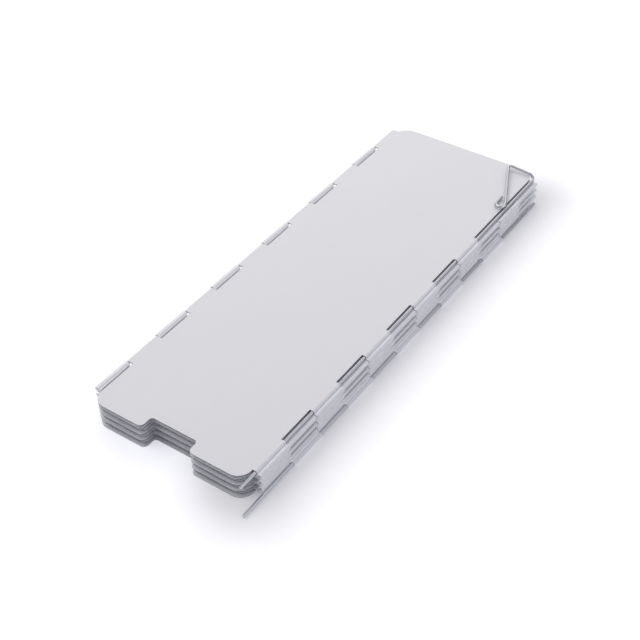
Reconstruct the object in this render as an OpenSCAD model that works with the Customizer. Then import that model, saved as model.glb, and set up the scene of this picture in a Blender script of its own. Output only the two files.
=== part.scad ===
// Folding stove windscreen, folded flat: eight thin metal plates joined like an accordion.
// Each plate's long edges are rolled into knuckles that turn on straight wire pins.
// The two free edges hold long wire stakes; one of them ends in a bent clip that ties the
// screen shut or joins its ends round a stove.
// Millimetres. X across the folded stack, Y along the hinge lines, Z up from the table.
// Y = 0 is the middle of the hinge lines; the end at -Y has the air inlets.

/* [Sheet and plates] */
// Sheet thickness
sheet_t = 0.4; // [0.3:0.05:0.5]
// Distance between the left and right hinge axes
hinge_span = 83.5; // [70:0.5:110]
// How far the plates reach past the hinge line at the inlet end
near_lip = 6.5; // [5.5:0.1:10]
// How much shorter every second plate below the top one is at the inlet end
near_stagger = 0.8; // [0:0.1:1.2]
// How far the plates reach past the hinge line at the far end
far_lip = 4.4; // [2:0.1:8]
// Corner radius at the inlet end
near_corner_r = 6.2; // [2:0.1:9]
// Corner radius at the far end
far_corner_r = 7.5; // [2:0.1:9]

/* [Air inlets] */
// Width of the air inlet in each plate
inlet_w = 23.8; // [12:0.2:40]
// Depth of the air inlet
inlet_depth = 6.4; // [4.5:0.1:12]
// Radius at the two inner corners of the inlet
inlet_floor_r = 1.6; // [0.5:0.1:2]
// Radius at the two outer corners of the inlet
inlet_mouth_r = 2.5; // [0.5:0.1:2.5]

/* [Rolled hinges] */
// Length of one knuckle and its gap
knuckle_pitch = 19.1; // [14:0.1:24]
// Diameter of the hinge wires and the stakes
wire_d = 1.3; // [1.2:0.05:1.6]
// Clearance between a wire and the knuckle around it, all round
wire_clearance = 0.05; // [0.03:0.01:0.1]
// How far each edge is rolled round its wire, in degrees
roll_wrap = 290; // [270:5:310]
// Flat part of each tab between its roll and the plate's edge
tab_flat = 1.8; // [1.5:0.1:3]
// How much shorter than the pitch each knuckle is
knuckle_gap = 0.3; // [0.25:0.05:1]
// Part of that gap at the near side of the lower plate's knuckles
knuckle_lead = 0.08; // [0.05:0.01:0.12]
// How far each hinge wire stops short of the hinge's ends
hinge_wire_setback = 0.8; // [0.2:0.1:2]

/* [Stakes and clip] */
// Clearance between a stake's knuckles and the hinge roll they nest beside
stake_gap = 0.28; // [0.2:0.02:0.6]
// How far the clip stake sticks out past the hinge line at the inlet end
clip_stake_reach = 9.4; // [4:0.2:16]
// How far the plain stake sticks out past the hinge line at the inlet end
plain_stake_reach = 13.0; // [4:0.2:20]
// How far the plain stake stops short of the hinge line at the far end
plain_stake_setback = 3.5; // [0:0.5:10]
// How far the clip's corner stands inboard of its stake
clip_reach = 14.6; // [10:0.2:18]
// Length of the clip's long leg, measured along the stake
clip_leg = 32.4; // [25:0.2:42]
// Width of the hook at the end of the clip
clip_hook_w = 5.75; // [5.6:0.05:7]
// Length of the hook's short leg
clip_hook_leg = 8.0; // [5.6:0.2:12]
// Height of the clip's wire axis over the top plate
clip_lift = 0.95; // [0.9:0.05:1.5]

/* [Hidden] */
$fn = 48;
knuckles = 12;
panels = 8;
stake_knuckles = 10;
end_chamfer = 0.2;
tab_lap = 1.2;
bore_r = wire_d / 2 + wire_clearance;
roll_r = bore_r + sheet_t;
plate_pitch = 2 * roll_r - sheet_t;
hinge_x = hinge_span / 2;
hinge_y = knuckles * knuckle_pitch / 2;
plate_half_w = hinge_x - roll_r - tab_flat;
near_edge = -hinge_y - near_lip;
far_edge = hinge_y + far_lip;
knuckle_len = knuckle_pitch - knuckle_gap;
stake_nest = sqrt(pow(2 * roll_r + stake_gap, 2) - pow(plate_pitch, 2));
clip_stake_x = hinge_x - stake_nest;
plain_stake_x = hinge_x + stake_nest;
stack_top = (panels - 1) * plate_pitch + sheet_t;
wire_r = wire_d / 2;

// Heights: plate 1 is on top of the stack and plate 8 lies on the table.
function plate_z(k) = (panels - k) * plate_pitch;
function hinge_z(k) = plate_z(k) + sheet_t - roll_r;

// Inlet end of plate k: the odd plates below the top one are a little shorter there.
function near_end(k) = near_edge + (k % 2 == 1 && k > 1 ? near_stagger : 0);

// Odd plates have their left knuckles in the odd places, even plates in the even places.
function first_knuckle(k, s) = (k % 2 == 1) == (s < 0) ? 1 : 0;
function knuckle_start(k, i) =
    i * knuckle_pitch - hinge_y + (k % 2 == 0 ? knuckle_lead : knuckle_gap - knuckle_lead);

aluminium = [0.80, 0.80, 0.83];
steel = [0.62, 0.62, 0.64];

// What is cut from a square corner to round it off; the corner is at the origin,
// and the metal lies towards +X and +Y.
module corner_cut(r) {
    difference() {
        translate([-1, -1]) square([r + 1, r + 1]);
        translate([r, r]) circle(r);
    }
}

// Flat blank of one plate between its two rows of tabs; near_y is its inlet end.
module plate_blank(near_y) {
    length = far_edge - near_y;
    difference() {
        translate([-plate_half_w, near_y]) square([2 * plate_half_w, length]);
        for (s = [-1, 1]) {
            translate([s * plate_half_w, near_y])
                mirror([s > 0 ? 1 : 0, 0]) corner_cut(near_corner_r);
            translate([s * plate_half_w, far_edge])
                mirror([s > 0 ? 1 : 0, 0]) mirror([0, 1]) corner_cut(far_corner_r);
            translate([s * inlet_w / 2, near_y])
                mirror([s < 0 ? 1 : 0, 0]) corner_cut(inlet_mouth_r);
        }
        translate([0, near_y]) inlet_shape();
    }
}

// Air inlet cut into an edge at Y = 0, with rounded inner corners.
module inlet_shape() {
    difference() {
        translate([-inlet_w / 2, -1]) square([inlet_w, inlet_depth + 1]);
        for (s = [-1, 1])
            translate([s * inlet_w / 2, inlet_depth])
                mirror([s > 0 ? 1 : 0, 0]) mirror([0, 1]) inner_corner(inlet_floor_r);
    }
}

module inner_corner(r) {
    difference() {
        translate([-0.01, -0.01]) square([r + 0.01, r + 0.01]);
        translate([r, r]) circle(r);
    }
}

// Section of a rolled edge: the sheet arrives from -X on top and curls down round the wire.
module roll_section(run) {
    difference() {
        union() {
            translate([-run, bore_r]) square([run, sheet_t]);
            circle(roll_r);
        }
        circle(bore_r);
        polygon([
            [0, 0],
            [0, bore_r],
            [-2 * roll_r, bore_r],
            [-2 * roll_r, 2 * roll_r * tan(roll_wrap - 270)]
        ]);
    }
}

// One knuckle with its tab. s is the side it is on, c is -1 where the edge curls down.
module knuckle(s, c, axis_x, y0) {
    run = axis_x - plate_half_w + tab_lap;
    translate([s * axis_x, y0 + knuckle_len, 0])
        rotate([90, 0, 0])
            mirror([s > 0 ? 0 : 1, 0, 0])
                mirror([0, c < 0 ? 0 : 1, 0])
                    linear_extrude(knuckle_len) roll_section(run);
}

// One row of knuckles along an edge.
module knuckle_row(k, s, c, axis_x, last) {
    z = c < 0 ? sheet_t - roll_r : roll_r;
    for (i = [first_knuckle(k, s) : 2 : last - 1])
        translate([0, 0, z]) knuckle(s, c, axis_x, knuckle_start(k, i));
}

// One plate with both rolled edges, in its place in the stack.
module panel(k) {
    left_curl = k % 2 == 1 ? -1 : 1;
    right_curl = k == 1 ? -1 : k == panels ? 1 : -left_curl;
    right_x = k == 1 ? clip_stake_x : k == panels ? plain_stake_x : hinge_x;
    right_last = k == 1 || k == panels ? stake_knuckles : knuckles;
    color(aluminium)
        translate([0, 0, plate_z(k)]) {
            linear_extrude(sheet_t) plate_blank(near_end(k));
            knuckle_row(k, -1, left_curl, hinge_x, knuckles);
            knuckle_row(k, 1, right_curl, right_x, right_last);
        }
}

module panel_1() panel(1);
module panel_2() panel(2);
module panel_3() panel(3);
module panel_4() panel(4);
module panel_5() panel(5);
module panel_6() panel(6);
module panel_7() panel(7);
module panel_8() panel(8);

// Straight wire along Y with chamfered ends.
module wire_rod(y0, y1) {
    half = (y1 - y0) / 2;
    translate([0, y1, 0])
        rotate([90, 0, 0])
            rotate_extrude()
                polygon([
                    [0, 0],
                    [wire_r - end_chamfer, 0],
                    [wire_r, end_chamfer],
                    [wire_r, 2 * half - end_chamfer],
                    [wire_r - end_chamfer, 2 * half],
                    [0, 2 * half]
                ]);
}

// Pin of the hinge between plate k and the one below it.
module hinge_wire(k) {
    s = k % 2 == 1 ? -1 : 1;
    end = hinge_y - hinge_wire_setback;
    color(steel)
        translate([s * hinge_x, 0, hinge_z(k)]) wire_rod(-end, end);
}

module hinge_wire_12() hinge_wire(1);
module hinge_wire_23() hinge_wire(2);
module hinge_wire_34() hinge_wire(3);
module hinge_wire_45() hinge_wire(4);
module hinge_wire_56() hinge_wire(5);
module hinge_wire_67() hinge_wire(6);
module hinge_wire_78() hinge_wire(7);

// Stake without a clip, in the free edge of the bottom plate.
module plain_stake() {
    color(steel)
        translate([plain_stake_x, 0, roll_r])
            wire_rod(-hinge_y - plain_stake_reach, hinge_y - plain_stake_setback);
}

function unit(v) = v / norm(v);

// Points of the arc that rounds the corner b between a and c.
function bend(a, b, c, r, n) =
    let (
        u = unit(a - b),
        w = unit(c - b),
        half = acos(u * w) / 2,
        centre = b + unit(u + w) * r / sin(half),
        e = (b + u * r / tan(half) - centre) / r,
        f = (b + w * r / tan(half) - centre) / r,
        sweep = 180 - 2 * half
    )
    [for (j = [0 : n])
        centre + r * (sin(sweep * (1 - j / n)) * e + sin(sweep * j / n) * f) / sin(sweep)];

function tangent(p, i) =
    unit(p[min(i + 1, len(p) - 1)] - p[max(i - 1, 0)]);

function normals(p) =
    [for (
        i = 0, n = [1, 0, 0];
        i < len(p);
        i = i + 1,
        n = i < len(p) ? unit(n - tangent(p, i) * (n * tangent(p, i))) : n
    ) n];

// Round wire along a list of points; radii gives its radius at each of them.
module bent_wire(p, radii, sides) {
    n = normals(p);
    rings = [for (i = [0 : len(p) - 1], j = [0 : sides - 1])
        let (a = 360 * j / sides, b = cross(tangent(p, i), n[i]))
        p[i] + radii[i] * (cos(a) * n[i] + sin(a) * b)];
    walls = [for (i = [0 : len(p) - 2], j = [0 : sides - 1])
        let (j2 = (j + 1) % sides)
        [i * sides + j, (i + 1) * sides + j, (i + 1) * sides + j2, i * sides + j2]];
    start = [[for (j = [0 : sides - 1]) j]];
    end = [[for (j = [sides - 1 : -1 : 0]) (len(p) - 1) * sides + j]];
    polyhedron(rings, concat(walls, start, end), convexity = 6);
}

// Stake of the top plate's free edge. Past the last knuckle its wire turns over the plate's
// corner, runs inboard, comes back along a long slanting leg and ends in an open hook.
module clip_stake() {
    shank_end = hinge_y - clip_leg - 5;
    rise = clip_lift + roll_r;
    at_shank = [0, shank_end - 3, 0];
    at_turn = [0, hinge_y + 0.9, 0];
    at_plate = [-2.2, hinge_y + 1.2, rise];
    at_corner = [-clip_reach, hinge_y + 1.4, rise + 0.85];
    at_hook = [0.75, hinge_y + 1.4 - clip_leg, rise];
    at_return = at_hook + [-clip_hook_w, 0, 0];
    at_tip = at_return + [0, clip_hook_leg, 0];
    path = concat(
        [at_shank, [0, shank_end, 0]],
        bend([0, shank_end, 0], at_turn, at_plate, 2.0, 8),
        bend(at_turn, at_plate, at_corner, 3.0, 4),
        bend(at_plate, at_corner, at_hook, 1.3, 9),
        bend(at_corner, at_hook, at_return, 2.15, 10),
        bend(at_hook, at_return, at_tip, 2.15, 9),
        [at_tip, at_tip + [0.01, end_chamfer, 0]]
    );
    radii = [for (i = [0 : len(path) - 1])
        i == 0 ? wire_r - 0.01 : i == len(path) - 1 ? wire_r - end_chamfer : wire_r - 0.005];
    color(steel)
        translate([clip_stake_x, 0, stack_top - roll_r]) {
            wire_rod(-hinge_y - clip_stake_reach, shank_end);
            bent_wire(path, radii, 16);
        }
}

panel_1();
panel_2();
panel_3();
panel_4();
panel_5();
panel_6();
panel_7();
panel_8();
hinge_wire_12();
hinge_wire_23();
hinge_wire_34();
hinge_wire_45();
hinge_wire_56();
hinge_wire_67();
hinge_wire_78();
clip_stake();
plain_stake();
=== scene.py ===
# %% [markdown]
# # A folding stove windscreen, folded flat
#
# Eight thin aluminium plates are joined like an accordion. Every long edge is rolled into
# short tubes, called knuckles, and a straight wire through them makes the hinge. Both free
# edges hold a long wire stake, and one stake ends in a bent clip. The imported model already
# holds the right sizes and joints, so this script loads it first and dresses it.

# %% Load the fixed frame
import math

import bmesh
import bpy
from mathutils import Matrix, Vector


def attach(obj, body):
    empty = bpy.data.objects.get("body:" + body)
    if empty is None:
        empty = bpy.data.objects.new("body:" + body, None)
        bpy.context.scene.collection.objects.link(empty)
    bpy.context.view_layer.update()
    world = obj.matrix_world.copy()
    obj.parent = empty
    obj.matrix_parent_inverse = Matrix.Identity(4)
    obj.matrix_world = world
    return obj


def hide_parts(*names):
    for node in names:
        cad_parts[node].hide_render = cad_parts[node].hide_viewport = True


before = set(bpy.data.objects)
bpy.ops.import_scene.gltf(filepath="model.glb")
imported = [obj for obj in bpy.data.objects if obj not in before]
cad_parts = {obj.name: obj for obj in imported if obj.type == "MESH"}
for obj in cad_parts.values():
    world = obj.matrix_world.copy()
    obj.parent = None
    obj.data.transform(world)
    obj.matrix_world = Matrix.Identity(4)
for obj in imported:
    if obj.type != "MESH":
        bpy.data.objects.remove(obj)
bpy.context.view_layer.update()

print("nodes in the frame:", len(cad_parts))

# %% [markdown]
# ## Camera
#
# A camera can be placed by eye, but here the plates' edges are straight and parallel, so the
# photograph fixes it exactly: where the long edges meet gives the direction, and how fast
# the knuckles shrink gives the distance. The camera stands off the near right corner, about
# 42 degrees above the table, with a slight roll.

# %% Set the camera
CAMERA_PLACE = Vector((0.24598, -0.35088, 0.36922))
CAMERA_AZIMUTH = math.radians(36.131)
CAMERA_ELEVATION = math.radians(41.860)
CAMERA_ROLL = math.radians(-1.986)
FOCAL_PIXELS = 1227.1
FRAME_PIXELS = 640
SENSOR_MM = 36.0
CLIP_START = 0.01


def camera_axes(azimuth, elevation, roll):
    """Right, up and back of a camera that looks at the object from this side."""
    back = Vector((
        math.sin(azimuth) * math.cos(elevation),
        -math.cos(azimuth) * math.cos(elevation),
        math.sin(elevation),
    ))
    level = Vector((math.cos(azimuth), math.sin(azimuth), 0))
    above = back.cross(level)
    right = level * math.cos(roll) + above * math.sin(roll)
    up = above * math.cos(roll) - level * math.sin(roll)
    return right, up, back


camera_data = bpy.data.cameras.new("camera")
camera_data.sensor_width = SENSOR_MM
camera_data.lens = FOCAL_PIXELS / FRAME_PIXELS * SENSOR_MM
camera_data.clip_start = CLIP_START
camera = bpy.data.objects.new("camera", camera_data)
bpy.context.collection.objects.link(camera)
turn = Matrix(camera_axes(CAMERA_AZIMUTH, CAMERA_ELEVATION, CAMERA_ROLL)).transposed()
camera.matrix_world = Matrix.Translation(CAMERA_PLACE) @ turn.to_4x4()
bpy.context.scene.camera = camera
bpy.context.scene.view_settings.view_transform = "Standard"
print("lens:", round(camera_data.lens, 2), "mm")

# %% [markdown]
# ## Sizes
#
# The real plates are stamped from thin sheet, so few sizes describe them all: the sheet's
# thickness, the distance between the hinges and the knuckles' pitch. They could be measured
# on the frame's meshes, but written as names they explain themselves. They are the sizes of
# the frame's solids, so the new pieces stand exactly where the solids are. Everything is
# written in millimetres and multiplied by MM, because Blender works in metres.

# %% Name the shared sizes
MM = 0.001
PLATES = 8
SHEET = 0.4 * MM  # thickness of a plate
SPAN = 83.5 * MM  # between the left and the right hinge axes
PITCH = 19.1 * MM  # from one knuckle place to the next
KNUCKLES = 12  # places along a hinge; two neighbours share them
BORE_R = 0.70 * MM
ROLL_R = BORE_R + SHEET
STEP_UP = 2 * ROLL_R - SHEET  # from one plate to the next in the stack
STACK_TOP = (PLATES - 1) * STEP_UP + SHEET
HINGE_X = SPAN / 2
HINGE_Y = KNUCKLES * PITCH / 2
NOTCH = 1.8 * MM  # between a plate's body and the other plate's rolls
BODY_X = HINGE_X - ROLL_R - NOTCH


def plate_z(k):
    """Height of the underside of plate k; plate 1 is on top."""
    return (PLATES - k) * STEP_UP


print("stack height:", round(STACK_TOP / MM, 2), "mm")

# %% [markdown]
# ## Node helpers
#
# Materials are networks of nodes. They can be placed by hand in the shader editor, but a
# script can build them again at any time. A few small helpers keep that readable: each adds
# one node, connects what it is given and hands back the node's result.

# %% Write the node helpers
def math_node(tree, kind, a, b):
    """A Math node whose inputs are sockets or numbers."""
    node = tree.nodes.new("ShaderNodeMath")
    node.operation = kind
    for place, value in enumerate((a, b)):
        if isinstance(value, (int, float)):
            node.inputs[place].default_value = value
        else:
            tree.links.new(value, node.inputs[place])
    return node.outputs[0]


def noise_node(tree, vector, scale, detail):
    """A Noise texture on that vector."""
    node = tree.nodes.new("ShaderNodeTexNoise")
    node.inputs["Detail"].default_value = detail
    node.inputs["Scale"].default_value = scale
    tree.links.new(vector, node.inputs["Vector"])
    return node.outputs["Fac"]


def mix_color(tree, factor, low, high, blend="MIX"):
    """Blends high into low by the factor; each of the three is a value or a socket."""
    mix = tree.nodes.new("ShaderNodeMix")
    mix.data_type = "RGBA"
    mix.blend_type = blend
    for name, value in (("Factor", factor), ("A", low), ("B", high)):
        if isinstance(value, tuple):
            mix.inputs[name].default_value = (*value, 1)
        elif isinstance(value, (int, float)):
            mix.inputs[name].default_value = value
        else:
            tree.links.new(value, mix.inputs[name])
    return mix.outputs["Result"]


node_helpers = [math_node, noise_node, mix_color]
print("node helpers:", [helper.__name__ for helper in node_helpers])

# %% [markdown]
# ## Surface grain
#
# Anodised sheet isn't one flat grey. It has a fine matt grain, faint streaks along the
# direction in which the sheet was rolled, and slow cloudy differences in tone. All three are
# noise at different scales. A node group holds them once, so the plates, their rolls, their
# cut edges and the wires can each use it with their own amounts.

# %% Build the metal grain group
STREAK_STRETCH = (1, 0.02, 1)  # along y, the way the sheet was rolled
STREAK_SCALE = 2600
CLOUD_SCALE = 38
MATT_SCALE = 5200
ROUGH_FOLLOWS_TONE = 1.6  # change of roughness for a change of tone
STREAK_HEIGHT = 0.6  # of the matt grain's height


def add_socket(tree, name, kind, way, value=None):
    """Adds a named socket to a node group."""
    socket = tree.interface.new_socket(name=name, in_out=way, socket_type=kind)
    if value is not None:
        socket.default_value = value


def centred(tree, value, amount):
    """Turns 0..1 noise into a difference round zero, times amount."""
    return math_node(tree, "MULTIPLY", math_node(tree, "SUBTRACT", value, 0.5), amount)


def build_grain_group():
    """Metal grain: tone and roughness that vary a little, and a height for a bump."""
    tree = bpy.data.node_groups.new("metal grain", "ShaderNodeTree")
    add_socket(tree, "Color", "NodeSocketColor", "INPUT", (0.8, 0.8, 0.8, 1))
    add_socket(tree, "Roughness", "NodeSocketFloat", "INPUT", 0.4)
    add_socket(tree, "Streaks", "NodeSocketFloat", "INPUT", 0.03)
    add_socket(tree, "Clouds", "NodeSocketFloat", "INPUT", 0.03)
    add_socket(tree, "Color", "NodeSocketColor", "OUTPUT")
    add_socket(tree, "Roughness", "NodeSocketFloat", "OUTPUT")
    add_socket(tree, "Height", "NodeSocketFloat", "OUTPUT")
    into = tree.nodes.new("NodeGroupInput")
    out = tree.nodes.new("NodeGroupOutput")
    place = tree.nodes.new("ShaderNodeTexCoord").outputs["Object"]
    stretch = tree.nodes.new("ShaderNodeMapping")
    stretch.inputs["Scale"].default_value = STREAK_STRETCH
    tree.links.new(place, stretch.inputs["Vector"])
    streak = noise_node(tree, stretch.outputs["Vector"], STREAK_SCALE, detail=4)
    cloud = noise_node(tree, place, CLOUD_SCALE, detail=3)
    matt = noise_node(tree, place, MATT_SCALE, detail=2)
    tone = math_node(
        tree, "ADD",
        centred(tree, streak, into.outputs["Streaks"]),
        centred(tree, cloud, into.outputs["Clouds"]),
    )
    shade = math_node(tree, "ADD", tone, 1)
    colour = mix_color(tree, 1, into.outputs["Color"], shade, "MULTIPLY")
    tree.links.new(colour, out.inputs["Color"])
    swing = math_node(tree, "MULTIPLY", tone, ROUGH_FOLLOWS_TONE)
    rough = math_node(tree, "ADD", into.outputs["Roughness"], swing)
    tree.links.new(rough, out.inputs["Roughness"])
    ridge = math_node(tree, "MULTIPLY", streak, STREAK_HEIGHT)
    tree.links.new(math_node(tree, "ADD", matt, ridge), out.inputs["Height"])
    return tree


metal_grain = build_grain_group()
print("built the group", metal_grain.name)

# %% [markdown]
# ## Metals
#
# The sheet is satin anodised and so matt that it looks like pale grey paint, so it is mostly a
# diffuse surface with a little metal in it. The rolled hinge edges are the same sheet, a touch
# smoother, with a slightly paler colour that is painted light on the rolls. The cut edges show
# sheared metal, whose dark colour is partly the metal's own tone and partly a painted
# reflection of the stack's own gaps. The wires are drawn stainless steel, glossy and fully
# metal.
# Five separate networks would do, but one function with different amounts keeps the metals
# alike where they should be.

# %% Make the metals
# The rolls' sheet colour, a little paler than the plates' as painted light.
ROLLED_PAINTED_LIGHT_COLOR = (0.90, 0.912, 0.955)


def make_metal(name, color, metallic, roughness, streaks, clouds, bump, depth):
    """A metal with the shared grain; bump is the strength and depth the height in metres."""
    material = bpy.data.materials.new(name)
    material.use_nodes = True
    tree = material.node_tree
    shader = tree.nodes["Principled BSDF"]
    shader.inputs["Metallic"].default_value = metallic
    grain = tree.nodes.new("ShaderNodeGroup")
    grain.node_tree = metal_grain
    grain.inputs["Color"].default_value = (*color, 1)
    grain.inputs["Roughness"].default_value = roughness
    grain.inputs["Streaks"].default_value = streaks
    grain.inputs["Clouds"].default_value = clouds
    bump_node = tree.nodes.new("ShaderNodeBump")
    bump_node.inputs["Strength"].default_value = bump
    bump_node.inputs["Distance"].default_value = depth
    tree.links.new(grain.outputs["Color"], shader.inputs["Base Color"])
    tree.links.new(grain.outputs["Roughness"], shader.inputs["Roughness"])
    tree.links.new(grain.outputs["Height"], bump_node.inputs["Height"])
    tree.links.new(bump_node.outputs["Normal"], shader.inputs["Normal"])
    return material


anodised = make_metal(
    "anodised sheet", (0.89, 0.885, 0.93), metallic=0.12, roughness=0.50,
    streaks=0.03, clouds=0.03, bump=0.25, depth=0.02 * MM)
# The left rolls get a finish of their own only so that light and shade can be painted on it
# below.
rolled, left_rolled_painted_light = [
    make_metal(name, ROLLED_PAINTED_LIGHT_COLOR, metallic=0.06, roughness=0.46,
               streaks=0.03, clouds=0.03, bump=0.25, depth=0.02 * MM)
    for name in ("rolled edge", "left rolled edge")
]
# Its dark colour is partly the sheared metal's own tone and partly a painted reflection of the
# stack's dark gaps.
sheared = make_metal(
    "sheared edge with painted reflection", (0.132, 0.156, 0.176), metallic=0.7, roughness=0.44,
    streaks=0.10, clouds=0.02, bump=0.3, depth=0.03 * MM)
steel = make_metal(
    "drawn steel", (0.79, 0.80, 0.85), metallic=1, roughness=0.26,
    streaks=0.12, clouds=0.03, bump=0.2, depth=0.02 * MM)
metals = [anodised, rolled, left_rolled_painted_light, sheared, steel]
print("metals:", [metal.name for metal in metals])

# %% [markdown]
# ## Painted dark reflections on the wires
#
# A glossy wire in a white studio still has dark outlines, because its rims mirror the dark
# parts of the room. Black cards round the object would do that, as photographers do, but they
# would also darken the plates. So the dark reflection is painted instead: Layer Weight darkens
# only the steel's colour, and only near its outline.

# %% Paint dark reflections on the wires' outlines
def color_input(material):
    """Node tree, Base Color input and the grain's colour that goes into it."""
    tree = material.node_tree
    target = tree.nodes["Principled BSDF"].inputs["Base Color"]
    return tree, target, target.links[0].from_socket


def paint_dark_rim_reflection(material, shade, blend):
    """Paints a dark reflection into the colour near the outline, where a smooth wire mirrors
    the dark of the room.
    """
    tree, target, grain_color = color_input(material)
    weight = tree.nodes.new("ShaderNodeLayerWeight")
    weight.inputs["Blend"].default_value = blend
    dark = mix_color(tree, weight.outputs["Facing"], grain_color, (shade,) * 3, "MULTIPLY")
    tree.links.new(dark, target)


paint_dark_rim_reflection(steel, shade=0.08, blend=0.33)
print("dark outlines:", steel.name)

# %% [markdown]
# ## Painted light and shade on the rolls
#
# Light that bounces many times between two rolls reaches deeper in life than in the render, so
# the rolls on the right get painted light in the creases: a paler colour and a little glow of
# their own. The left rolls turn their inner sides away from the lamps. Those sides get painted
# light as well, and the narrow gap beside them gets painted shade, so that each roll stands out
# from the plate. More lamps would flatten the whole picture. An Ambient Occlusion node, which
# tells how open a point is, puts the painted light and shade only where it is needed.

# %% Paint light and shade on the rolls
BOUNCE_COLOR = (0.97, 0.965, 1.0)  # of the light between two rolls
# Painted shade in the narrow gap beside a left roll.
GAP_SHADE_COLOR = (0.02, 0.02, 0.025)
GAP_RAMP = (0.22, 0.46)  # openness over which the gap's shade ends
FACE_RAMP = (0.80, 1.0)  # and over which the light on the half open side falls off
FACE_PART = 0.25  # to this part of it on a bare face
OPENNESS_SAMPLES = 8
OPENNESS_REACH = 2.0 * MM


def ramp_node(tree, value, start, end, low, high):
    """A smooth ramp from low to high while the value goes from start to end."""
    ramp = tree.nodes.new("ShaderNodeMapRange")
    ramp.interpolation_type = "SMOOTHSTEP"
    ramp.inputs["From Min"].default_value = start
    ramp.inputs["From Max"].default_value = end
    ramp.inputs["To Min"].default_value = low
    ramp.inputs["To Max"].default_value = high
    tree.links.new(value, ramp.inputs["Value"])
    return ramp.outputs["Result"]


def openness(tree):
    """How open the surface is: 0 in a deep crease, 1 on a bare face."""
    node = tree.nodes.new("ShaderNodeAmbientOcclusion")
    node.samples = OPENNESS_SAMPLES
    node.inputs["Distance"].default_value = OPENNESS_REACH
    return node.outputs["AO"]


def add_painted_glow(material, factor, low, high):
    """Paints light: emits a colour between low and high."""
    tree = material.node_tree
    shader = tree.nodes["Principled BSDF"]
    tree.links.new(mix_color(tree, factor, low, high), shader.inputs["Emission Color"])
    shader.inputs["Emission Strength"].default_value = 1


def bounce(amount):
    """The colour of the painted light between two rolls, at that strength."""
    return tuple(amount * part for part in BOUNCE_COLOR)


def paint_light_in_creases(material, amount):
    """Paints light in the creases between the rolls: a paler colour and a glow for the light
    that bounces in them.
    """
    tree, target, grain_color = color_input(material)
    bare = openness(tree)
    tree.links.new(mix_color(tree, bare, BOUNCE_COLOR, grain_color), target)
    add_painted_glow(material, bare, bounce(amount), bounce(0))


def paint_side_light_and_gap_shade(material, amount):
    """Paints light on the half open side of a roll, and paints shade in the narrow gap beside
    it.
    """
    tree, target, grain_color = color_input(material)
    bare = openness(tree)
    outside_gap = ramp_node(tree, bare, *GAP_RAMP, 0, 1)
    tree.links.new(mix_color(tree, outside_gap, GAP_SHADE_COLOR, grain_color), target)
    half_open = ramp_node(tree, bare, *FACE_RAMP, 1, FACE_PART)
    side = math_node(tree, "MULTIPLY", outside_gap, half_open)
    add_painted_glow(material, side, bounce(0), bounce(amount))


paint_light_in_creases(rolled, 0.21)
paint_side_light_and_gap_shade(left_rolled_painted_light, 0.40)
print("adjusted:", rolled.name, "and", left_rolled_painted_light.name)

# %% [markdown]
# ## A plate's blank
#
# A plate is one piece of sheet, so it is made the way a press makes it. First comes the flat
# blank: a rectangle with an air inlet and rounded corners. A Boolean modifier could cut the
# inlet, but the plane is simply divided where the cuts go and the waste is deleted. That
# leaves a clean outline, whose corners are then rounded with a bevel.

# %% Cut the blank
NEAR_LIP = 6.5 * MM  # how far the plate passes the hinge line at the inlet end
NEAR_Y = -HINGE_Y - NEAR_LIP
NEAR_STAGGER = 0.8 * MM
FAR_LIP = 4.4 * MM
FAR_Y = HINGE_Y + FAR_LIP
NEAR_CORNER = 6.2 * MM
FAR_CORNER = 7.5 * MM
INLET_HALF = 11.9 * MM
INLET_DEEP = 6.4 * MM
INLET_MOUTH = 2.5 * MM  # radius of the inlet's outer corners
INLET_FLOOR = 1.6 * MM  # radius of its inner corners
SAME_PLACE = 1e-7  # metres; closer than this is the same place


def near_end(k):
    """Inlet end of plate k; the odd plates below the top one are a little shorter."""
    return NEAR_Y + (NEAR_STAGGER if k % 2 == 1 and k > 1 else 0)


def cut_across(bm, point, normal):
    """Adds a line of edges where the plane crosses the mesh."""
    everything = bm.verts[:] + bm.edges[:] + bm.faces[:]
    bmesh.ops.bisect_plane(
        bm, geom=everything, dist=SAME_PLACE, plane_co=point, plane_no=normal,
    )


def round_corner(bm, x, y, radius, segments):
    """Rounds the outline's corner at that place."""
    corner = min(bm.verts, key=lambda v: (v.co.x - x) ** 2 + (v.co.y - y) ** 2)
    bmesh.ops.bevel(
        bm, geom=[corner], offset=radius, offset_type="OFFSET", affect="VERTICES",
        segments=segments, profile=0.5, material=-1, clamp_overlap=False,
    )


def cut_blank(bm, z, near_y):
    """Flat outline of a plate between its rows of tabs, at height z."""
    bmesh.ops.create_grid(bm, x_segments=1, y_segments=1, size=1)
    middle = (FAR_Y + near_y) / 2
    size = Matrix.Diagonal((BODY_X, (FAR_Y - near_y) / 2, 1, 1))
    place = Matrix.Translation((0, middle, z))
    bmesh.ops.transform(bm, matrix=place @ size, verts=bm.verts[:])
    floor_y = near_y + INLET_DEEP
    cut_across(bm, (0, floor_y, z), (0, 1, 0))
    for s in (-1, 1):
        cut_across(bm, (s * INLET_HALF, 0, z), (1, 0, 0))
    waste = [
        f for f in bm.faces
        if abs(f.calc_center_median().x) < INLET_HALF and f.calc_center_median().y < floor_y
    ]
    bmesh.ops.delete(bm, geom=waste, context="FACES")
    inner = [e for e in bm.edges if len(e.link_faces) == 2]
    bmesh.ops.dissolve_edges(bm, edges=inner, use_verts=False)
    for s in (-1, 1):
        round_corner(bm, s * BODY_X, near_y, NEAR_CORNER, segments=12)
        round_corner(bm, s * BODY_X, FAR_Y, FAR_CORNER, segments=14)
        round_corner(bm, s * INLET_HALF, near_y, INLET_MOUTH, segments=8)
        round_corner(bm, s * INLET_HALF, floor_y, INLET_FLOOR, segments=6)


print("blank:", round(2 * BODY_X / MM, 1), "by", round((FAR_Y - NEAR_Y) / MM, 1), "mm")

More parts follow.
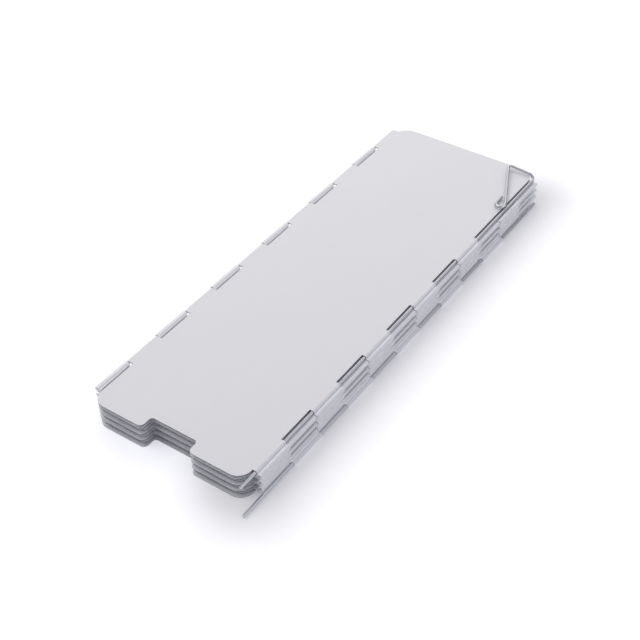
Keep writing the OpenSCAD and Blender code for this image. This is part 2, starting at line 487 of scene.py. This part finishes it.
# %% [markdown]
# ## Tabs and knuckles
#
# On the real plate, tabs stand out along both long edges and are curled into knuckles that
# hold the hinge wire. Tubes could be stuck to the slab, but then the sheet wouldn't run into
# the roll in one surface. So the tabs are pulled out of the blank with extrude, and each one
# is rolled with spin, which sweeps its edge round the hinge axis.

# %% Pull out the tabs and roll them
KNUCKLE_GAP = 0.3 * MM
KNUCKLE_LEAD = 0.08 * MM
ROLL_WRAP = math.radians(290)
ROLL_STEPS = 32
RIM_BAND = 1.5 * MM  # how far inside BODY_X an edge still counts as the plate's rim
plate_finishes = [anodised, sheared, rolled, left_rolled_painted_light]
CUT_EDGE, RIGHT_ROLL, LEFT_ROLL = 1, 2, 3  # places in that list; 0 is the bare sheet


def knuckle_start(k, i):
    """Where knuckle i of plate k starts along the hinge line."""
    lead = KNUCKLE_LEAD if k % 2 == 0 else KNUCKLE_GAP - KNUCKLE_LEAD
    return i * PITCH - HINGE_Y + lead


def first_knuckle(k, s):
    """Odd plates have their left knuckles in the odd places, even plates the other way."""
    return 1 if (k % 2 == 1) == (s < 0) else 0


def roll_edge(bm, k, s, curl, axis_x, last):
    """Makes one row of knuckles: side s is -1 or 1, curl is -1 for down and 1 for up."""
    z = plate_z(k) + SHEET / 2
    spans = [
        (knuckle_start(k, i), knuckle_start(k, i) + PITCH - KNUCKLE_GAP)
        for i in range(first_knuckle(k, s), last, 2)
    ]
    edge_line = []
    for edge in bm.edges:
        if not edge.is_boundary:
            continue
        y = (edge.verts[0].co.y + edge.verts[1].co.y) / 2
        x = s * (edge.verts[0].co.x + edge.verts[1].co.x) / 2
        if x > BODY_X - RIM_BAND and any(a < y < b for a, b in spans):
            edge_line.append(edge)
    pulled = bmesh.ops.extrude_edge_only(bm, edges=edge_line)["geom"]
    for vert in (g for g in pulled if isinstance(g, bmesh.types.BMVert)):
        vert.co.x = s * axis_x
    rim = [g for g in pulled if isinstance(g, (bmesh.types.BMVert, bmesh.types.BMEdge))]
    rim = [g for g in rim if isinstance(g, bmesh.types.BMVert) or g.is_boundary
           and all(abs(v.co.x - s * axis_x) < SAME_PLACE for v in g.verts)]
    axis_z = z + curl * (ROLL_R - SHEET / 2)
    before = set(bm.faces)
    bmesh.ops.spin(
        bm, geom=rim, cent=(s * axis_x, 0, axis_z), axis=(0, -s * curl, 0),
        angle=ROLL_WRAP, steps=ROLL_STEPS, use_merge=False, use_duplicate=False,
    )
    for face in set(bm.faces) - before:
        face.smooth = True
        face.material_index = RIGHT_ROLL if s > 0 else LEFT_ROLL


print("knuckle length:", round((PITCH - KNUCKLE_GAP) / MM, 1), "mm")

# %% [markdown]
# ## Thickness
#
# So far the plate is a surface without thickness. A Solidify modifier would do, but the cut
# edges need a finish of their own and slightly broken edges, as a press leaves them, and for
# that the new faces have to be at hand. So solidify and bevel run on the mesh itself. They
# keep the roll an even 0.4 mm thick.

# %% Give the sheet its thickness
EDGE_BREAK = 0.05 * MM
SHARP = math.radians(50)


def thicken(bm, roll_ends):
    """Turns the surface into sheet metal, with slightly broken edges.

    The rim of the blank gets the sheared finish, and the ends of the rolls get the finish
    with the number roll_ends.
    """
    bmesh.ops.recalc_face_normals(bm, faces=bm.faces[:])
    face_verts = set(bm.verts)
    bmesh.ops.solidify(bm, geom=bm.faces[:], thickness=SHEET)
    for face in bm.faces:
        kinds = {v in face_verts for v in face.verts}
        if len(kinds) == 2:
            in_roll = abs(face.calc_center_median().x) > BODY_X
            face.material_index = roll_ends if in_roll else CUT_EDGE
            face.smooth = False
    corners = [
        e for e in bm.edges
        if len(e.link_faces) == 2 and e.calc_face_angle(0) > SHARP
    ]
    bmesh.ops.bevel(
        bm, geom=corners, offset=EDGE_BREAK, offset_type="OFFSET", affect="EDGES",
        segments=2, profile=0.5, material=-1, clamp_overlap=False,
    )


print("edges broken by", round(EDGE_BREAK / MM, 2), "mm")

# %% [markdown]
# ## The eight plates
#
# Each plate could be copied from the first, but they aren't all alike. They roll alternately
# down and up on the left, the odd ones below the top are a little shorter at the inlet, and
# the right edges of the first and the last hold a stake instead of a hinge wire. So one
# function makes plate number k from its rules. Every plate takes the place of its node and
# rides on its body, so it moves with the hinges.

# %% Make the plates
STAKE_KNUCKLES = 10  # places along a row that holds a stake
STAKE_GAP = 0.28 * MM  # between the stake's rolls and the hinge's rolls
STAKE_NEST = math.sqrt((2 * ROLL_R + STAKE_GAP) ** 2 - STEP_UP ** 2)
CLIP_STAKE_X = HINGE_X - STAKE_NEST
PLAIN_STAKE_X = HINGE_X + STAKE_NEST


def add_piece(name, bm, body, node, materials):
    """Makes the mesh an object that stands for a node and rides on a body."""
    bmesh.ops.recalc_face_normals(bm, faces=bm.faces[:])
    mesh = bpy.data.meshes.new(name)
    bm.to_mesh(mesh)
    bm.free()
    for material in materials:
        mesh.materials.append(material)
    piece = bpy.data.objects.new(name, mesh)
    bpy.context.collection.objects.link(piece)
    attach(piece, body)
    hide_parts(node)
    return piece


def make_plate(k):
    """Plate k with both rolled edges, in its place in the stack."""
    bm = bmesh.new()
    cut_blank(bm, plate_z(k) + SHEET / 2, near_end(k))
    for i in range(KNUCKLES):
        for y in (knuckle_start(k, i), knuckle_start(k, i) + PITCH - KNUCKLE_GAP):
            cut_across(bm, (0, y, 0), (0, 1, 0))
    left_curl = -1 if k % 2 == 1 else 1
    right_curl = {1: -1, PLATES: 1}.get(k, -left_curl)
    right_x = {1: CLIP_STAKE_X, PLATES: PLAIN_STAKE_X}.get(k, HINGE_X)
    right_last = STAKE_KNUCKLES if k in (1, PLATES) else KNUCKLES
    roll_edge(bm, k, -1, left_curl, HINGE_X, KNUCKLES)
    roll_edge(bm, k, 1, right_curl, right_x, right_last)
    thicken(bm, roll_ends=CUT_EDGE if k == 1 else RIGHT_ROLL)
    node = "panel_%d" % k
    return add_piece("plate_%d" % k, bm, node, node, plate_finishes)


plates = [make_plate(k) for k in range(1, PLATES + 1)]
print("plates:", len(plates), "faces in the first:", len(plates[0].data.polygons))

# %% [markdown]
# ## Wires
#
# A wire form is drawn like a wire bender works: feed a straight length, then turn round a
# die. Here a circle of edges is fed along with extrude and turned with spin, so the section
# stays perfectly round through every bend. A curve with a bevel would be quicker, but it
# narrows where its handles are tight.

# %% Bend the wires
WIRE_R = 0.65 * MM
WIRE_SIDES = 20
TURN_STEPS = 10
TIP_BREAK = 0.2 * MM  # how far a wire's end is rounded


def wire_start(bm, point, direction):
    """First ring of a wire, closed with a face, square to its direction."""
    turn = direction.to_track_quat("Z", "Y").to_matrix().to_4x4()
    made = bmesh.ops.create_circle(
        bm, cap_ends=True, segments=WIRE_SIDES, radius=WIRE_R,
        matrix=Matrix.Translation(point) @ turn,
    )
    return list({e for v in made["verts"] for e in v.link_edges})


def feed(bm, ring, shift):
    """Feeds the wire straight on by that vector."""
    grown = bmesh.ops.extrude_edge_only(bm, edges=ring)["geom"]
    verts = [g for g in grown if isinstance(g, bmesh.types.BMVert)]
    bmesh.ops.translate(bm, vec=shift, verts=verts)
    return [g for g in grown if isinstance(g, bmesh.types.BMEdge)
            and all(v in set(verts) for v in g.verts)]


def turn_wire(bm, ring, centre, axis, angle):
    """Turns the wire's last ring round a die."""
    verts = list({v for e in ring for v in e.verts})
    last = bmesh.ops.spin(
        bm, geom=ring + verts, cent=centre, axis=axis, angle=angle, steps=TURN_STEPS,
        use_merge=False, use_duplicate=False,
    )["geom_last"]
    return [g for g in last if isinstance(g, bmesh.types.BMEdge)]


def bend_wire(points, radii):
    """A round wire through corner points, each rounded to its own radius."""
    bm = bmesh.new()
    here = points[0]
    ring = wire_start(bm, here, (points[1] - points[0]).normalized())
    for before, corner, after, radius in zip(points, points[1:], points[2:], radii):
        inward = (corner - before).normalized()
        onward = (after - corner).normalized()
        angle = inward.angle(onward)
        reach = radius * math.tan(angle / 2)
        ring = feed(bm, ring, corner - inward * reach - here)
        centre = corner + (onward - inward).normalized() * radius / math.cos(angle / 2)
        ring = turn_wire(bm, ring, centre, inward.cross(onward), angle)
        here = corner + onward * reach
    ring = feed(bm, ring, points[-1] - here)
    bmesh.ops.edgeloop_fill(bm, edges=ring)
    for face in bm.faces:
        face.smooth = True
    caps = [f for f in bm.faces if len(f.verts) == WIRE_SIDES]
    rims = list({e for f in caps for e in f.edges})
    bmesh.ops.bevel(
        bm, geom=rims, offset=TIP_BREAK, offset_type="OFFSET", affect="EDGES",
        segments=3, profile=0.5, material=-1, clamp_overlap=False,
    )
    return bm


print("wire diameter:", round(2 * WIRE_R / MM, 2), "mm")

# %% [markdown]
# ## Hinge wires
#
# Seven straight wires join the eight plates. Each runs through the knuckles of two
# neighbours, so only its ends and the short lengths between knuckles can be seen. They could
# be left out, but then the bores would be empty. Each rides with the plate below its hinge,
# and its ends are set back a little inside the last knuckle.

# %% Fit the hinge wires
WIRE_SETBACK = 0.8 * MM


def hinge_z(k):
    """Height of the hinge between plate k and the plate below it."""
    return plate_z(k) + SHEET - ROLL_R


def add_wire(name, points, radii, body, node):
    """Bends a wire and makes it a steel piece."""
    return add_piece(name, bend_wire(points, radii), body, node, [steel])


def make_hinge_wire(k):
    """Pin between plate k and the plate below; it rides with the lower plate."""
    x = -HINGE_X if k % 2 == 1 else HINGE_X
    y = HINGE_Y - WIRE_SETBACK
    ends = [Vector((x, -y, hinge_z(k))), Vector((x, y, hinge_z(k)))]
    pair = "%d%d" % (k, k + 1)
    return add_wire("pin_" + pair, ends, [], "panel_%d" % (k + 1), "hinge_wire_" + pair)


pins = [make_hinge_wire(k) for k in range(1, PLATES)]
print("hinge wires:", len(pins))

# %% [markdown]
# ## Stakes and clip
#
# The lower stake is a straight wire. The upper one turns over the plate's corner, runs
# inboard, comes back along a slanting leg and ends in an open hook, which holds the other
# stake when the screen stands round a stove. It could be drawn as a smooth curve, but the
# real one is bent over dies, so it is given as corner points, each with the radius of its
# bend.

# %% Fit the stakes
PLAIN_TIP = 13.0 * MM  # how far each stake's bare tip passes the hinge line's near end
CLIP_TIP = 9.4 * MM
PLAIN_SHORT = 3.5 * MM  # how far the plain stake stays short of the hinge line's far end
CLIP_RISE = 2.05  # millimetres from the stake's axis up to the clip's wire
CLIP_TILT = 0.85  # and from there up to the clip's highest corner


def make_plain_stake():
    """Straight stake in the bottom plate's free edge."""
    ends = [
        Vector((PLAIN_STAKE_X, -HINGE_Y - PLAIN_TIP, ROLL_R)),
        Vector((PLAIN_STAKE_X, HINGE_Y - PLAIN_SHORT, ROLL_R)),
    ]
    return add_wire("lower_stake", ends, [], "plain_stake", "plain_stake")


def make_clip_stake():
    """Stake of the top plate's free edge, with its clip."""
    origin = Vector((CLIP_STAKE_X, HINGE_Y, STACK_TOP - ROLL_R))
    corners = [  # in millimetres from the stake's axis beside the hinge line's far end
        (0, -(2 * HINGE_Y + CLIP_TIP) / MM, 0),
        (0, 0.9, 0),
        (-2.2, 1.2, CLIP_RISE),
        (-14.6, 1.4, CLIP_RISE + CLIP_TILT),
        (0.75, -31.0, CLIP_RISE),
        (-5.0, -31.0, CLIP_RISE),
        (-5.0, -23.0, CLIP_RISE),
    ]
    points = [origin + Vector(c) * MM for c in corners]
    radii = [r * MM for r in (2.0, 3.0, 1.3, 2.15, 2.15)]
    return add_wire("upper_stake", points, radii, "clip_stake", "clip_stake")


stakes = [make_plain_stake(), make_clip_stake()]
print("stakes:", [s.name for s in stakes])

# %% [markdown]
# ## Floor
#
# A product shot on white needs a floor that is pure white to the camera and yet keeps the
# object's soft shadow. So the floor is an ordinary pale surface, and for camera and mirror rays
# a little light is added on top. It is weakest along the stack's right edge, where the lamps'
# shadow falls, so that a painted shadow lies there as well, and it grows with the distance from
# that edge, so the open floor clips to white. Far out, where the lamps hardly reach, it grows
# once more. A brighter lamp would whiten the floor too, but it would burn out the plates first.

# %% Lay the floor
FLOOR_HALF = 3.0
FLOOR_DROP = 0.02 * MM
FLOOR_BASE = (0.88, 0.88, 0.88)
FLOOR_ROUGHNESS = 0.9
FLOOR_GLOW = (0.90, 0.91, 1.0)
GLOW_IN_PAINTED_SHADOW = 0.18  # strength along the stack's right edge
GLOW_OPEN = 0.52  # on the open floor
GLOW_FAR = 0.5  # added to that on the far floor
PAINTED_SHADOW_RAMP = (3 * MM, 39 * MM)  # distances over which it grows
FAR_RAMP = (250 * MM, 1500 * MM)


def floor_light_and_painted_shadow(tree):
    """Light added to the floor by its distance from the stack's right edge; weak beside it,
    which paints a shadow there.
    """
    place = tree.nodes.new("ShaderNodeSeparateXYZ")
    here = tree.nodes.new("ShaderNodeTexCoord").outputs["Object"]
    tree.links.new(here, place.inputs[0])
    across = math_node(tree, "SUBTRACT", place.outputs["X"], BODY_X)
    along = math_node(tree, "ABSOLUTE", place.outputs["Y"], 0)
    along = math_node(tree, "MAXIMUM", math_node(tree, "SUBTRACT", along, HINGE_Y), 0)
    squares = [math_node(tree, "POWER", side, 2) for side in (across, along)]
    distance = math_node(tree, "POWER", math_node(tree, "ADD", *squares), 0.5)
    beside = ramp_node(tree, distance, *PAINTED_SHADOW_RAMP, GLOW_IN_PAINTED_SHADOW, GLOW_OPEN)
    outer = ramp_node(tree, distance, *FAR_RAMP, 0, GLOW_FAR)
    return math_node(tree, "ADD", beside, outer)


def make_floor():
    """A large pale plane that shows white to the camera."""
    bm = bmesh.new()
    bmesh.ops.create_grid(bm, x_segments=1, y_segments=1, size=FLOOR_HALF)
    bmesh.ops.translate(bm, vec=(0, 0, -FLOOR_DROP), verts=bm.verts[:])
    mesh = bpy.data.meshes.new("floor")
    bm.to_mesh(mesh)
    bm.free()
    floor = bpy.data.objects.new("floor", mesh)
    bpy.context.collection.objects.link(floor)
    material = bpy.data.materials.new("white floor")
    material.use_nodes = True
    tree = material.node_tree
    shader = tree.nodes["Principled BSDF"]
    shader.inputs["Base Color"].default_value = (*FLOOR_BASE, 1)
    shader.inputs["Roughness"].default_value = FLOOR_ROUGHNESS
    shader.inputs["Specular IOR Level"].default_value = 0
    rays = tree.nodes.new("ShaderNodeLightPath")
    seen = math_node(tree, "MAXIMUM", rays.outputs["Is Camera Ray"],
                     rays.outputs["Is Glossy Ray"])
    shader.inputs["Emission Color"].default_value = (*FLOOR_GLOW, 1)
    tree.links.new(math_node(tree, "MULTIPLY", seen, floor_light_and_painted_shadow(tree)),
                   shader.inputs["Emission Strength"])
    mesh.materials.append(material)
    return floor


floor = make_floor()
print("laid the", floor.name, "with a half width of", FLOOR_HALF, "m")

# %% [markdown]
# ## Light
#
# Small lamps would give the plates hard shadows and hot spots, so the light is large and soft,
# as in a studio. A key lamp stands on the left, and a rear lamp makes the far end of the top
# plate brighter than the near end. The world is the room itself, with a pale wall on the right
# that lights the rolls there.

# %% Set the lights
WALL_LEVEL = 0.64
CEILING_LEVEL = 0.46
BACKDROP_LEVEL = 1.06  # what the camera sees where there is no floor
ROOM_COLOR = (0.95, 0.945, 1.0)


def add_area(name, place, size, power, color):
    """A square soft light that faces the middle of the stack's foot."""
    data = bpy.data.lights.new(name, "AREA")
    data.shape = "SQUARE"
    data.size = size
    data.energy = power
    data.color = color
    lamp = bpy.data.objects.new(name, data)
    lamp.location = place
    lamp.rotation_euler = (-Vector(place)).to_track_quat("-Z", "Y").to_euler()
    bpy.context.collection.objects.link(lamp)
    return lamp


key = add_area("key", (-0.95, -0.6, 1.25), size=1.3, power=8, color=(1.0, 0.99, 0.94))
rear = add_area("rear", (-0.5, 0.75, 0.5), size=1.4, power=7, color=(1.0, 0.995, 0.97))


def make_world():
    """A studio room: a tall pale wall on the right and a pale ceiling, the rest dark."""
    world = bpy.data.worlds.new("studio")
    bpy.context.scene.world = world
    world.use_nodes = True
    sky = world.node_tree
    backdrop = sky.nodes["Background"]
    facing = sky.nodes.new("ShaderNodeSeparateXYZ")
    ray = sky.nodes.new("ShaderNodeTexCoord").outputs["Generated"]
    sky.links.new(ray, facing.inputs[0])
    rightward = math_node(sky, "MAXIMUM", facing.outputs["X"], 0)
    wall = math_node(sky, "MULTIPLY", rightward, WALL_LEVEL)
    upward = math_node(sky, "MAXIMUM", facing.outputs["Z"], 0)
    ceiling = math_node(sky, "MULTIPLY", math_node(sky, "POWER", upward, 2), CEILING_LEVEL)
    level = math_node(sky, "ADD", wall, ceiling)
    seen = sky.nodes.new("ShaderNodeLightPath").outputs["Is Camera Ray"]
    seen = math_node(sky, "MULTIPLY", seen, BACKDROP_LEVEL)
    sky.links.new(math_node(sky, "MAXIMUM", level, seen), backdrop.inputs["Strength"])
    backdrop.inputs["Color"].default_value = (*ROOM_COLOR, 1)


make_world()
print("lamps:", key.name, rear.name)

# %% [markdown]
# ## Finish
#

# %% Finish
print("finished")
